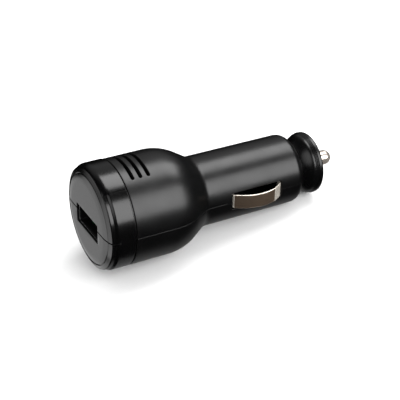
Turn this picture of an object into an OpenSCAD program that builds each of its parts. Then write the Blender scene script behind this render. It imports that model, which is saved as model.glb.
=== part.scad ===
// Car charger plug: a moulded two-part housing with one USB port in its head, a ridged nose cap with a sprung
// centre contact, a bowed spring contact on each side, and the fuse and converter board inside.
// The origin is the centre of the flat USB face. +Z runs along the plug towards the centre contact.
// The parting plane is XZ: the upper shell lies on -Y and the side contacts on +X and -X.

/* [Head] */
// Diameter of the head
head_d = 31; // [30:0.5:33]
// Height of the straight part of the head above the face
head_len = 20.8; // [20:0.2:23]
// Radius of the round behind the ring, which the inside of the wall follows
rim_round = 2.8; // [2:0.1:3.2]
// Height at which that round meets the side
rim_height = 3.25; // [3:0.05:3.6]
// Width of the rim between the side of the head and the crowned face
rim_w = 2.15; // [2:0.05:2.3]
// How far the ring around the face stands in from the side of the head
ring_inset = 0.5; // [0.4:0.05:0.6]
// Height of the ring's front above the face
ring_z = 0.6; // [0.5:0.05:0.8]
// Radius of the ring's outer edge
ring_round = 0.45; // [0.3:0.05:0.6]
// Height at which the slanted front edge of the polished band begins, on the side of the ring
edge_z = 2.1; // [1.9:0.05:2.2]
// Height at which that edge meets the side of the head
band_z = 2.85; // [2.6:0.05:3.1]
// Diameter of the flat middle of the face
face_flat_d = 21; // [20:0.5:22]
// Radius of the crown between the flat middle and that groove
face_crown = 9.3; // [9:0.1:12]
// Height of the groove between the polished front band and the body
band_groove_z = 8.1; // [7.5:0.1:9]
// Width of that groove
band_groove_w = 0.5; // [0.3:0.1:0.7]
// Depth of that groove
band_groove_depth = 0.4; // [0.2:0.1:0.6]

/* [Plate] */
// Width of the raised plate on the front band
plate_w = 18; // [14:0.5:20]
// How far the plate stands proud
plate_rise = 0.3; // [0.2:0.1:0.5]
// Height at which the slanted front edge of the plate begins
plate_z = 2.2; // [2.1:0.1:3]
// Length of that edge along the plug
plate_edge = 0.5; // [0.3:0.1:0.8]

/* [Vents] */
// Number of vent slots
vent_count = 3; // [2:1:4]
// Width of a slot
vent_w = 1; // [0.8:0.1:1.4]
// Length of a slot from end to end
vent_len = 14.2; // [10:0.2:16]
// Height of the first slot above the face
vent_z = 11.1; // [10.6:0.1:12]
// Distance from one slot to the next
vent_pitch = 2.4; // [2:0.1:2.6]

/* [Shoulder and barrel] */
// Radius of the round between head and shoulder
shoulder_round = 15.2; // [13:0.2:17]
// Slope of the shoulder to the axis
shoulder_slope = 32.4; // [30:0.2:36]
// Radius of the hollow round where the shoulder meets the barrel
root_round = 3.8; // [3:0.2:5]
// Diameter of the barrel at the shoulder
barrel_d = 21; // [20.6:0.1:21.2]
// Diameter of the barrel at its far end
barrel_end_d = 20.8; // [20.4:0.1:21]
// Height of the barrel's far end above the face
barrel_z = 66; // [65.6:0.1:66.4]
// Radius of the round on the barrel's far end
barrel_round = 2.7; // [1.5:0.1:3]

/* [Walls] */
// Wall of the housing
wall = 1.8; // [1.5:0.1:2]
// Thickness of the inner ribs
rib_t = 1.2; // [0.8:0.1:1.4]
// How far the ribs that hold the board reach over its edges
rib_reach = 1.4; // [1:0.1:2]
// Thickness of the lip that locates the two halves
lip_t = 0.7; // [0.5:0.1:0.9]
// Height of that lip
lip_h = 1; // [0.6:0.1:1.4]
// Diameter of the locating pins
dowel_d = 1.8; // [1.4:0.1:2]
// Height of the locating pins
dowel_h = 2.4; // [1.6:0.2:3]
// Clearance between pieces that are put together
fit_gap = 0.1; // [0.05:0.01:0.15]
// Radial clearance of pieces that slide
run_gap = 0.06; // [0.04:0.01:0.09]

/* [Nose cap] */
// Diameter of the cap's flange
flange_d = 18.4; // [17.6:0.2:19]
// Height of the cap's front face above the USB face
cap_z = 73.1; // [72.6:0.1:74]
// Diameter of the neck between barrel and flange
neck_d = 12.8; // [12.6:0.1:13.4]
// Height of the band that carries the ridges
flange_t = 2.1; // [1.8:0.1:2.4]
// Diameter of the cap's screwed shank
shank_d = 12.3; // [12:0.1:12.5]
// Length of the shank inside the barrel
shank_len = 5.6; // [5:0.1:5.8]
// Thickness of the cap's front wall, which stops the pin
cap_wall = 3.1; // [2.6:0.1:3.4]

/* [Centre contact] */
// Diameter of the pin
pin_d = 4.5; // [4:0.1:5]
// How far the pin stands out of the cap
pin_out = 7.8; // [7:0.1:8.4]
// Diameter of the pin's inner flange
pin_flange_d = 6.8; // [6.4:0.1:7]
// Thickness of that flange
pin_flange_t = 1.4; // [1.2:0.1:1.8]
// Depth of the cup in the flange that takes the fuse
pin_cup = 1.4; // [1:0.1:1.8]
// Diameter of the fuse caps
fuse_d = 5.2; // [5:0.1:5.4]
// Length of the fuse
fuse_len = 20; // [19.5:0.1:20.5]
// Length of one fuse cap
fuse_cap_len = 5.5; // [5:0.1:6]
// Diameter of the fuse glass between the caps
fuse_glass_d = 4.6; // [4.4:0.1:4.8]
// Wall of the fuse glass
fuse_glass_wall = 0.6; // [0.5:0.1:0.8]
// Wall of a fuse cap
fuse_cap_wall = 0.25; // [0.2:0.05:0.25]
// Diameter of the fuse wire
fuse_wire_d = 0.2; // [0.15:0.05:0.3]
// Outer diameter of the contact spring
spring_d = 4.6; // [4:0.1:4.8]
// Diameter of the spring's wire
spring_wire = 0.5; // [0.4:0.05:0.6]
// Length of the spring at rest
spring_len = 7.4; // [7:0.1:8]
// Turns of the spring
spring_turns = 5; // [4:1:6]

/* [Side contacts] */
// Height at which the slot of a side contact begins
slot_z = 41; // [40.6:0.1:41.4]
// Length of the slot
slot_len = 16.7; // [16.4:0.1:17]
// Width of the slot
slot_w = 5.4; // [5:0.1:6]
// Width of the spring strip
strip_w = 4.4; // [4:0.1:4.6]
// Thickness of the spring strip
strip_t = 0.4; // [0.3:0.05:0.5]
// Height of the bow above its own chord
bow_rise = 1.6; // [1.4:0.05:1.8]
// How far under the surface of the barrel the bow begins
bow_sink = 0.3; // [0.1:0.05:0.5]
// How far the corner where the bow ends in its flat end piece stands out of the barrel
bow_corner_out = 1.5; // [1.3:0.05:1.7]
// Length of the flat end piece along the plug
bow_end_len = 2.8; // [2.4:0.1:3]
// Length of the tab under the wall at each end
tab_len = 2; // [1.6:0.1:2]

/* [USB port] */
// Width of the cut-out in the face
port_w = 14.1; // [13.9:0.1:14.6]
// Height of the cut-out in the face
port_h = 5.9; // [5.9:0.1:6.2]
// Distance of the port's centre from the parting plane
port_y = 1.2; // [1:0.1:1.3]
// How far the steel shell lies behind the face
port_recess = 0.5; // [0.3:0.1:0.8]
// Outer width of the steel shell
usb_w = 13.2; // [13:0.1:13.4]
// Outer height of the steel shell
usb_h = 5.7; // [5.6:0.1:5.8]
// Length of the steel shell
usb_len = 14; // [13:0.5:15]
// Sheet of the steel shell
usb_sheet = 0.3; // [0.25:0.05:0.35]
// Width of the tongue
tongue_w = 11.1; // [10.8:0.1:11.4]
// Thickness of the tongue
tongue_t = 1.84; // [1.7:0.02:1.9]
// Gap between the tongue and the shell on its near side
tongue_gap = 0.7; // [0.6:0.05:0.8]
// Distance from the shell's mouth to the tongue
tongue_recess = 1.8; // [1.2:0.1:2.4]
// Length of the solid block behind the tongue
block_len = 3.4; // [3:0.1:4]
// Width of a contact blade
blade_w = 1; // [0.8:0.1:1.2]
// Thickness of a contact blade
blade_t = 0.25; // [0.2:0.05:0.3]

/* [Board] */
// Thickness of the circuit board
board_t = 1.2; // [1:0.1:1.4]
// Clearance between the board's long edges and the wall
board_gap = 0.45; // [0.3:0.05:0.8]
// Height of the board's front edge above the face
board_z = 2.4; // [2.2:0.1:3]
// Height at which the wide part ends
board_neck_z = 24; // [22:0.5:24]
// Height of the far end of the tail
board_end_z = 39.4; // [39:0.1:39.6]

/* [Parts on the board] */
// Diameter of the input capacitor
cap_in_d = 8; // [7:0.5:8]
// Length of the input capacitor
cap_in_len = 11.5; // [10:0.5:12]
// Diameter of the output capacitor
cap_out_d = 6.3; // [5:0.1:6.3]
// Length of the output capacitor
cap_out_len = 9; // [8:0.5:10]
// Distance between the two capacitors
cap_gap = 2.8; // [2:0.2:3.4]
// Diameter of a capacitor's lead
cap_lead_d = 0.6; // [0.5:0.1:0.7]
// Distance between the leads of the input capacitor
cap_in_pitch = 3.5; // [3:0.5:4]
// Distance between the leads of the output capacitor
cap_out_pitch = 2.5; // [2:0.5:2.5]
// How far the leads run out of a capacitor before they turn down
cap_lead_out = 0.9; // [0.8:0.1:1.1]
// Diameter of the coil former's flanges
choke_d = 8; // [7:0.2:8.2]
// Height of the coil former
choke_h = 7.4; // [6:0.2:7.6]
// Thickness of a former flange
choke_flange = 1; // [0.8:0.1:1.2]
// Diameter of the former's middle
choke_core_d = 3.6; // [3:0.2:4.2]
// Diameter of the coil's wire
choke_wire = 0.7; // [0.5:0.1:0.8]
// How far the winding lies in from the rim of the flanges
choke_inset = 0.5; // [0.4:0.1:0.8]
// Length of the converter chip
chip_len = 4.9; // [4.6:0.1:5.1]
// Width of the converter chip
chip_w = 3.9; // [3.7:0.1:4]
// Height of the converter chip
chip_h = 1.5; // [1.3:0.1:1.6]
// Legs on each side of the chip
chip_legs_a_side = 4; // [3:1:4]
// Length of the diode
diode_len = 4.3; // [4:0.1:4.6]
// Width of the diode
diode_w = 2.6; // [2.4:0.1:2.8]
// Height of the diode
diode_h = 2.2; // [1.8:0.1:2.4]
// Length of a chip resistor
resistor_len = 2; // [1.6:0.1:2.1]
// Width of a chip resistor
resistor_w = 1.25; // [1:0.05:1.3]
// Height of a chip resistor
resistor_h = 0.6; // [0.4:0.05:0.7]
// Distance from one chip resistor to the next in its row
resistor_pitch = 3.2; // [2.6:0.2:3.4]
// Distance of the two rows of chip resistors from the middle of the board
resistor_x = 6.5; // [6.2:0.1:6.6]
// Diameter of a ground lead
lead_d = 1; // [0.8:0.1:1.2]
// Clearance between a ground lead's pad and the coil
lead_gap = 0.3; // [0.2:0.05:0.4]
// How high a ground lead stands up from its pad before it bends over
lead_rise = 3.2; // [2.8:0.2:3.6]
// Length over which it bends into line with the tab
lead_bend = 1.2; // [1:0.1:1.5]

/* [Hidden] */
$fn = 64;
far = 60;

head_r = head_d / 2;
barrel_r = barrel_d / 2;
barrel_end_r = barrel_end_d / 2;
barrel_in_r = min(barrel_r, barrel_end_r) - wall;
face_r = head_r - rim_w;
ring_r = head_r - ring_inset;

// shoulder: a round, a straight slope and a hollow round, tangent to each other
slope_fall = head_r - barrel_r - (shoulder_round + root_round) * (1 - cos(shoulder_slope));
slope_len = slope_fall / sin(shoulder_slope);
slope_z = head_len + shoulder_round * sin(shoulder_slope) + slope_len * cos(shoulder_slope);
root_z = slope_z + root_round * sin(shoulder_slope);

// nose
collar_z = barrel_z - shank_len + 0.2;
bore_r = shank_d / 2 + fit_gap;
flange_z = cap_z - flange_t;
pin_stop_z = cap_z - cap_wall;
pin_tip_z = cap_z + pin_out;
flange_low_z = pin_stop_z - pin_flange_t;
fuse_top_z = flange_low_z;
fuse_low_z = fuse_top_z - fuse_len;
seat_z = fuse_low_z - spring_len;
guide_r = fuse_d / 2 + 0.25;
cap_edge_round = 0.9;
ridge_zs = [flange_z + 0.55, flange_z + 1.05];

// port
port_top_y = port_y - usb_h / 2;
board_y = port_y + usb_h / 2;
board_under_y = board_y + board_t;
usb_end_z = port_recess + usb_len;
tongue_y = port_top_y + usb_sheet + tongue_gap;
tongue_z = port_recess + tongue_recess;
block_z = usb_end_z - block_len;
blade_pitch = 2.3;
leg_zs = [port_recess + 4.4, usb_end_z - 3.4];

// side contacts
tab_x = sqrt(barrel_in_r * barrel_in_r - strip_w * strip_w / 4) - strip_t / 2 - fit_gap;
bow_start_x = barrel_r - bow_sink;
bow_corner_x = barrel_r + bow_corner_out;
slot_end_z = slot_z + slot_len;
leg_z = slot_z + 0.3 + strip_t / 2;
end_leg_z = slot_end_z - 0.4 - strip_t / 2;
bow_corner_z = end_leg_z - bow_end_len;

// housing features
dowel_x = head_r - wall - 2.1;
dowel_z = 11.6;
boss_r = dowel_d / 2 + 0.9;
lip_root = 0.6;
collar_dowel_x = (bore_r + barrel_end_r) / 2;
collar_dowel_z = (collar_z + barrel_z - barrel_round) / 2 + 0.2;
guide_zs = [fuse_low_z + 2, fuse_low_z + 9];
rest_zs = [6, 15];

// board and the parts on it
board_w = 2 * (sqrt(pow(head_r - wall, 2) - board_under_y * board_under_y) - board_gap);
tail_w = 2 * (sqrt(barrel_in_r * barrel_in_r - board_under_y * board_under_y) - board_gap);
cap_in_x = -(cap_gap + cap_in_d) / 2;
cap_out_x = (cap_gap + cap_out_d) / 2;
caps_z = usb_end_z + 2.2;
choke_z = 33.4;
chip_z = 25;
diode_z = 13;

// Outline of the housing in radius and height, set in from the outside by a wall
module housing_outline(inset = 0) {
    r = head_r - inset;
    rim_in = rim_round - inset;
    translate([0, rim_height])
        square([r, head_len - rim_height]);
    translate([head_r - rim_round, rim_height])
        circle(max(rim_in, 0.3));
    translate([0, rim_height - rim_round + inset])
        square([head_r - rim_round, rim_round]);
    shoulder_outline(inset);
    polygon([[0, root_z - 1], [barrel_r - inset, root_z - 1], [barrel_r - inset, root_z],
        [barrel_end_r - inset, barrel_z - barrel_round], [0, barrel_z - barrel_round]]);
}

// Round, slope and hollow round between head and barrel
module shoulder_outline(inset) {
    top_r = head_r - shoulder_round + (shoulder_round - inset) * cos(shoulder_slope);
    top_z = head_len + (shoulder_round - inset) * sin(shoulder_slope);
    foot_r = barrel_r + root_round - (root_round + inset) * cos(shoulder_slope);
    foot_z = root_z - (root_round + inset) * sin(shoulder_slope);
    intersection() {
        translate([head_r - shoulder_round, head_len])
            circle(shoulder_round - inset);
        translate([0, head_len - 1])
            square([head_r, top_z - head_len + 1]);
    }
    polygon([[0, head_len], [top_r - 1, head_len], [top_r, top_z], [foot_r, foot_z], [0, foot_z]]);
    difference() {
        translate([0, foot_z - 1])
            square([foot_r, root_z - foot_z + 1]);
        translate([barrel_r + root_round, root_z])
            circle(root_round + inset);
    }
}

// Crowned face with its edge groove and ring, and the round on the far end of the barrel
module outside_outline() {
    difference() {
        union() {
            housing_outline();
            square([face_flat_d / 2, rim_height + 1]);
            intersection() {
                translate([face_flat_d / 2, face_crown])
                    circle(face_crown);
                square([face_r, rim_height]);
            }
            translate([0, ring_z])
                square([ring_r - ring_round, edge_z - ring_z]);
            translate([ring_r - ring_round, ring_z + ring_round])
                circle(ring_round);
            polygon([[0, ring_z + ring_round], [ring_r, ring_z + ring_round], [ring_r, edge_z], [head_r, band_z],
                [head_r, rim_height + 1], [0, rim_height + 1]]);
            translate([0, barrel_z - barrel_round - 1])
                square([barrel_end_r - barrel_round, barrel_round + 1]);
            translate([barrel_end_r - barrel_round, barrel_z - barrel_round])
                circle(barrel_round);
        }
        translate([face_r, 0])
            square([0.2, ring_z + 0.15]);
        polygon([[ring_r, 0], [ring_r, edge_z], [head_r, band_z], [head_r + 1, band_z], [head_r + 1, 0]]);
        translate([head_r - band_groove_depth, band_groove_z - band_groove_w / 2])
            square([band_groove_depth + 1, band_groove_w]);
    }
}

module cavity() {
    intersection() {
        rotate_extrude()
            intersection() {
                housing_outline(wall);
                square(far * 2);
            }
        translate([-far, -far, wall])
            cube([far * 2, far * 2, collar_z - wall]);
    }
}

// Raised plate on the front band, under the vent side
module plate() {
    back_z = band_groove_z - band_groove_w / 2;
    top_r = head_r + plate_rise;
    intersection() {
        rotate_extrude()
            polygon([[ring_r - 1, plate_z], [ring_r, plate_z], [top_r, plate_z + plate_edge], [top_r, back_z],
                [ring_r - 1, back_z]]);
        translate([-plate_w / 2, -far, 0])
            cube([plate_w, far, barrel_z]);
    }
}

module slot_shape(length, width, depth) {
    for (side = [-1, 1])
        translate([side * (length - width) / 2, 0, 0])
            rotate([90, 0, 0])
                cylinder(h = depth, d = width);
    translate([-(length - width) / 2, -depth, -width / 2])
        cube([length - width, depth, width]);
}

module vents() {
    for (i = [0 : vent_count - 1])
        translate([0, -head_r / 2, vent_z + i * vent_pitch])
            slot_shape(vent_len, vent_w, head_r);
}

module contact_slots() {
    for (side = [0, 1])
        mirror([side, 0, 0])
            translate([tab_x - 2.4, -slot_w / 2, slot_z])
                cube([far, slot_w, slot_len]);
}

module port_cut() {
    translate([-port_w / 2, port_y - port_h / 2, -1])
        cube([port_w, port_h, wall + 2]);
}

// The two halves as one hollow body, before they are parted
module housing_body() {
    difference() {
        union() {
            rotate_extrude()
                outside_outline();
            plate();
        }
        cavity();
        contact_slots();
        port_cut();
        translate([0, 0, collar_z - 1])
            cylinder(h = far, r = bore_r);
    }
}

// Everything on one side of the parting plane: side -1 is the upper half, side 1 the lower half
module half_space(side) {
    translate([-far, side > 0 ? 0 : -far, -1])
        cube([far * 2, far, far * 2]);
}

// Ring along the inside of the wall that becomes the lip, or its rebate when grown by a clearance
module lip_ring(grow) {
    low_z = rim_height + 1 - grow;
    intersection() {
        rotate_extrude()
            difference() {
                housing_outline(wall - lip_t - grow);
                housing_outline(wall - 0.05 + 2 * grow);
            }
        translate([-far, -lip_h - grow, low_z])
            cube([far * 2, lip_h + lip_root + grow, root_z - 1 + grow - low_z]);
    }
}

// Locating pins, rooted in the lower half
module dowels(d, h) {
    for (side = [-1, 1])
        for (place = [[dowel_x, dowel_z], [collar_dowel_x, collar_dowel_z]])
            translate([side * place[0], lip_root, place[1]])
                rotate([90, 0, 0])
                    cylinder(h = h + lip_root, d = d);
}

// Round bosses in the head that carry the dowels
module bosses() {
    for (side = [-1, 1])
        translate([side * dowel_x, far / 2, dowel_z])
            rotate([90, 0, 0])
                cylinder(h = far, r = boss_r);
}

// Ribs from the wall to the board at its two edges: those of the upper half reach past the parting plane
module board_ribs(side) {
    for (z = rest_zs)
        for (x = [board_w / 2 - rib_reach, -board_w / 2])
            translate([x, side > 0 ? board_under_y : board_y - far, z])
                cube([rib_reach, far, rib_t]);
}

// Cross ribs that cradle the fuse between the side contacts
module fuse_ribs() {
    for (z = guide_zs)
        difference() {
            translate([-tab_x + 3, -far, z])
                cube([2 * tab_x - 6, far * 2, rib_t]);
            translate([0, 0, z - 1])
                cylinder(h = rib_t + 2, r = guide_r);
        }
}

module shell_inside(side) {
    intersection() {
        union() {
            board_ribs(side);
            intersection() {
                union() {
                    bosses();
                    fuse_ribs();
                }
                half_space(side);
            }
        }
        rotate_extrude()
            intersection() {
                housing_outline(wall / 2);
                square(far * 2);
            }
    }
}

module upper_shell() {
    color([0.07, 0.07, 0.075])
        difference() {
            union() {
                intersection() {
                    housing_body();
                    half_space(-1);
                }
                shell_inside(-1);
            }
            vents();
            lip_ring(fit_gap);
            dowels(dowel_d + 2 * fit_gap, dowel_h + 0.4);
        }
}

module lower_shell() {
    color([0.06, 0.06, 0.065]) {
        intersection() {
            housing_body();
            half_space(1);
        }
        shell_inside(1);
        lip_ring(0);
        dowels(dowel_d, dowel_h);
    }
}

// Turned outline of the cap: shank, neck, hollow flare, ridged band and front face
module cap_outline() {
    flange_r = flange_d / 2;
    neck_r = neck_d / 2;
    flare_r = flange_r - cap_edge_round;
    neck_top_z = barrel_z + 1.2;
    flare_h = flange_z - neck_top_z;
    difference() {
        union() {
            translate([0, collar_z - 0.6])
                square([shank_d / 2, barrel_z - collar_z + 1]);
            translate([0, barrel_z])
                square([neck_r, neck_top_z - barrel_z]);
            difference() {
                polygon([[0, neck_top_z], [neck_r, neck_top_z], [flare_r + 0.1, neck_top_z + flare_h * 0.75],
                    [flare_r + 0.3, flange_z], [0, flange_z]]);
                translate([neck_r + 3.05, neck_top_z + 0.1])
                    circle(3.1);
            }
            translate([0, flange_z])
                square([flange_r - 0.3, flange_t - cap_edge_round]);
            translate([flange_r - cap_edge_round, flange_z + cap_edge_round - 0.2])
                circle(cap_edge_round);
            translate([0, flange_z - 0.2])
                square([flange_r - cap_edge_round, flange_t + 0.2]);
            translate([flange_r - cap_edge_round, cap_z - cap_edge_round])
                circle(cap_edge_round);
        }
        for (z = ridge_zs)
            translate([flange_r, z])
                circle(0.16);
        translate([pin_d / 2 + 2.2, cap_z - 0.3])
            square([2.2, 1]);
    }
}

module nose_cap() {
    color([0.05, 0.05, 0.055])
        difference() {
            rotate_extrude()
                cap_outline();
            translate([0, 0, collar_z - 2])
                cylinder(h = pin_stop_z - collar_z + 2, d = pin_flange_d + 2 * run_gap);
            translate([0, 0, pin_stop_z - 1])
                cylinder(h = cap_wall + 2, d = pin_d + 2 * run_gap);
        }
}

module centre_pin() {
    color([0.86, 0.83, 0.78])
        difference() {
            union() {
                translate([0, 0, pin_stop_z - 0.3])
                    cylinder(h = pin_tip_z - pin_d / 2 - pin_stop_z + 0.3, d = pin_d);
                translate([0, 0, pin_tip_z - pin_d / 2])
                    sphere(d = pin_d);
                translate([0, 0, flange_low_z - pin_cup])
                    cylinder(h = pin_stop_z - flange_low_z + pin_cup, d = pin_flange_d);
            }
            translate([0, 0, flange_low_z - pin_cup - 1])
                cylinder(h = pin_cup + 1, d = fuse_d + 2 * fit_gap);
        }
}

// One fuse cap, open downwards, with its closed end at height z
module fuse_cap(z) {
    translate([0, 0, z])
        difference() {
            translate([0, 0, -fuse_cap_len])
                cylinder(h = fuse_cap_len, d = fuse_d);
            translate([0, 0, -fuse_cap_len - 1])
                cylinder(h = fuse_cap_len + 1 - fuse_cap_wall, d = fuse_d - 2 * fuse_cap_wall);
        }
}

module fuse_front_cap() {
    color([0.8, 0.8, 0.78])
        fuse_cap(fuse_top_z);
}

module fuse_rear_cap() {
    color([0.8, 0.8, 0.78])
        translate([0, 0, fuse_low_z])
            mirror([0, 0, 1])
                fuse_cap(0);
}

module fuse_glass() {
    glass_z = fuse_low_z + fuse_cap_wall;
    color([0.8, 0.9, 0.92, 0.4])
        translate([0, 0, glass_z])
            difference() {
                cylinder(h = fuse_len - 2 * fuse_cap_wall, d = fuse_glass_d);
                translate([0, 0, -1])
                    cylinder(h = fuse_len + 2, d = fuse_glass_d - 2 * fuse_glass_wall);
            }
}

module fuse_wire() {
    color([0.85, 0.85, 0.85])
        translate([0, 0, fuse_low_z + fuse_cap_wall])
            cylinder(h = fuse_len - 2 * fuse_cap_wall, d = fuse_wire_d);
}

// Point of the spring's wire centre after a share of its turns
function spring_point(share) = let (a = 360 * spring_turns * share, r = (spring_d - spring_wire) / 2)
    [r * cos(a), r * sin(a), seat_z + spring_wire / 2 + (spring_len - spring_wire) * share];

// Ring of points around the wire, square to its run
function wire_ring(share, sides) = let (
    a = 360 * spring_turns * share,
    slope = atan2(spring_len - spring_wire, PI * (spring_d - spring_wire) * spring_turns),
    out = [cos(a), sin(a), 0],
    up = [sin(a) * sin(slope), -cos(a) * sin(slope), cos(slope)],
    p = spring_point(share))
    [for (k = [0 : sides - 1]) p + spring_wire / 2 * (out * cos(360 * k / sides) + up * sin(360 * k / sides))];

// Tube swept through rings of points, closed at both ends
module swept_tube(rings) {
    sides = len(rings[0]);
    last = len(rings) - 1;
    points = [for (ring = rings) for (p = ring) p];
    walls = [for (i = [0 : last - 1]) for (k = [0 : sides - 1]) let (n = (k + 1) % sides)
        [i * sides + k, (i + 1) * sides + k, (i + 1) * sides + n, i * sides + n]];
    ends = [[for (k = [0 : sides - 1]) k], [for (k = [sides - 1 : -1 : 0]) last * sides + k]];
    polyhedron(points, concat(walls, ends), convexity = 10);
}

module contact_spring() {
    steps = spring_turns * 14;
    color([0.75, 0.75, 0.76])
        swept_tube([for (i = [0 : steps]) wire_ring(i / steps, 8)]);
}

// Plated bracket: a foot on the board's tail and an upright with a shallow cup for the spring
module spring_seat() {
    sheet = 0.5;
    foot_len = 3;
    color([0.82, 0.8, 0.74]) {
        translate([-2, board_y - sheet, seat_z - foot_len])
            cube([4, sheet, foot_len]);
        translate([-2, 0, seat_z - sheet])
            cube([4, board_y, sheet]);
        difference() {
            translate([0, 0, seat_z - sheet])
                cylinder(h = sheet + 0.8, d = spring_d + 1);
            translate([0, 0, seat_z])
                cylinder(h = 2, d = spring_d + 2 * fit_gap);
        }
    }
}

// Points along an arc from a to b whose middle lies rise to the right of the straight line
function bow_points(a, b, rise, steps) = let (
    chord = norm(b - a),
    u = (b - a) / chord,
    side = [u[1], -u[0]],
    r = (chord * chord / 4 + rise * rise) / (2 * rise),
    centre = (a + b) / 2 - side * (r - rise),
    half = asin(chord / 2 / r))
    [for (i = [0 : steps]) let (t = half * (2 * i / steps - 1)) centre + r * (side * cos(t) + u * sin(t))];

function unit(v) = v / norm(v);
function left_of(v) = [-v[1], v[0]];

// Offset of point i of a path along the bisector of its two runs
function strip_side(path, i, off) = let (
    last = len(path) - 1,
    before = unit(path[max(i, 1)] - path[max(i, 1) - 1]),
    after = unit(path[min(i, last - 1) + 1] - path[min(i, last - 1)]),
    n = unit(left_of(before) + left_of(after)))
    path[i] + n * off / (n * left_of(before));

// Outline of a bent strip along a path
module strip_outline(path, t) {
    last = len(path) - 1;
    polygon(concat([for (i = [0 : last]) strip_side(path, i, t / 2)],
        [for (i = [last : -1 : 0]) strip_side(path, i, -t / 2)]));
}

module side_contact() {
    start = [bow_start_x, leg_z + 0.3];
    corner = [bow_corner_x, bow_corner_z];
    path = concat(
        [[tab_x, leg_z - tab_len], [tab_x, leg_z], [bow_start_x - 0.35, leg_z]],
        bow_points(start, corner, bow_rise, 14),
        [[bow_start_x, end_leg_z], [tab_x, end_leg_z + 0.2], [tab_x, end_leg_z + tab_len]]);
    color([0.72, 0.68, 0.62])
        translate([0, strip_w / 2, 0])
            rotate([90, 0, 0])
                linear_extrude(strip_w)
                    strip_outline(path, strip_t);
}

module right_side_contact() {
    side_contact();
}

module left_side_contact() {
    mirror([1, 0, 0])
        side_contact();
}

// Windows of the four spring fingers in the wide walls of the steel shell
module finger_slots() {
    finger_z = port_recess + 2.6;
    finger_len = 5.2;
    slit = 0.35;
    for (side = [-1, 1])
        translate([side * 3.1 - 1, port_top_y - 1, finger_z]) {
            cube([slit, usb_h + 2, finger_len]);
            translate([2 - slit, 0, 0])
                cube([slit, usb_h + 2, finger_len]);
            cube([2, usb_h + 2, slit]);
        }
}

module shell_legs(grow) {
    for (x = [-1, 1])
        for (z = leg_zs)
            translate([x > 0 ? usb_w / 2 - usb_sheet - grow : -usb_w / 2 - grow, board_y - 0.5, z - grow])
                cube([usb_sheet + 2 * grow, board_t + 1.2, 1.6 + 2 * grow]);
}

module usb_shell() {
    color([0.78, 0.78, 0.8]) {
        difference() {
            translate([-usb_w / 2, port_top_y, port_recess])
                cube([usb_w, usb_h, usb_len]);
            translate([-usb_w / 2 + usb_sheet, port_top_y + usb_sheet, port_recess - 1])
                cube([usb_w - 2 * usb_sheet, usb_h - 2 * usb_sheet, usb_len - usb_sheet + 1]);
            finger_slots();
        }
        shell_legs(0);
    }
}

module usb_insulator() {
    inner_w = usb_w - 2 * usb_sheet - fit_gap;
    inner_h = usb_h - 2 * usb_sheet - fit_gap;
    color([0.1, 0.1, 0.11])
        difference() {
            union() {
                translate([-tongue_w / 2, tongue_y, tongue_z])
                    cube([tongue_w, tongue_t, block_z - tongue_z + 1]);
                translate([-inner_w / 2, port_y - inner_h / 2, block_z])
                    cube([inner_w, inner_h, usb_end_z - usb_sheet - fit_gap / 2 - block_z]);
            }
            for (i = [-1.5 : 1 : 1.5])
                translate([i * blade_pitch - blade_w / 2 - 0.05, tongue_y + tongue_t - blade_t, tongue_z + 0.6])
                    cube([blade_w + 0.1, 1, usb_len]);
        }
}

module usb_contacts() {
    color([0.85, 0.68, 0.3])
        for (i = [-1.5 : 1 : 1.5])
            translate([i * blade_pitch - blade_w / 2, tongue_y + tongue_t - blade_t, tongue_z + 0.7]) {
                cube([blade_w, blade_t, block_z - tongue_z + 2]);
                rotate([90, 0, 90])
                    linear_extrude(blade_w)
                        polygon([[0, 1], [blade_t, 1], [blade_t + 0.2, 1.6], [blade_t + 0.2, 2.4], [blade_t, 3.2],
                            [0, 3.2]]);
            }
}

// Outline of the board seen from above: wide in the head, narrow in the barrel
module board_outline() {
    w = board_w / 2;
    t = tail_w / 2;
    step_z = board_neck_z + (w - t) * 1.1;
    difference() {
        polygon([[-w + 2, board_z], [w - 2, board_z], [w, board_z + 2], [w, board_neck_z], [t, step_z],
            [t, board_end_z], [-t, board_end_z], [-t, step_z], [-w, board_neck_z], [-w, board_z + 2]]);
        for (side = [-1, 1])
            translate([side * dowel_x, dowel_z])
                circle(boss_r + 0.3);
        for (side = [-1, 1])
            translate([side > 0 ? dowel_x : -dowel_x - board_w, dowel_z - boss_r - 0.3])
                square([board_w, 2 * boss_r + 0.6]);
    }
}

module circuit_board() {
    color([0.1, 0.36, 0.2])
        difference() {
            translate([0, board_under_y, 0])
                rotate([90, 0, 0])
                    linear_extrude(board_t)
                        board_outline();
            shell_legs(fit_gap);
            capacitor_lead_rods(cap_lead_d + 2 * fit_gap);
        }
}

// Straight round bar from p to q
module rod(p, q, d) {
    v = q - p;
    translate(p)
        rotate([0, acos(v[2] / norm(v)), atan2(v[1], v[0])])
            cylinder(h = norm(v), d = d);
}

// Can with a rolled-in groove near its sealed end and a scored top, lying along the plug
module capacitor(x, d, length) {
    translate([x, board_y - d / 2, caps_z])
        difference() {
            rotate_extrude()
                difference() {
                    square([d / 2, length]);
                    translate([d / 2 + 0.25, 1.6])
                        circle(0.6);
                    translate([d / 2 - 0.4, length - 0.4])
                        difference() {
                            square(1);
                            circle(0.4);
                        }
                }
            for (a = [0, 90])
                rotate(a)
                    translate([-d * 0.35, -0.15, length - 0.25])
                        cube([d * 0.7, 0.3, 1]);
        }
}

module input_capacitor() {
    color([0.16, 0.17, 0.2])
        capacitor(cap_in_x, cap_in_d, cap_in_len);
}

module output_capacitor() {
    color([0.14, 0.15, 0.18])
        capacitor(cap_out_x, cap_out_d, cap_out_len);
}

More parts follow.
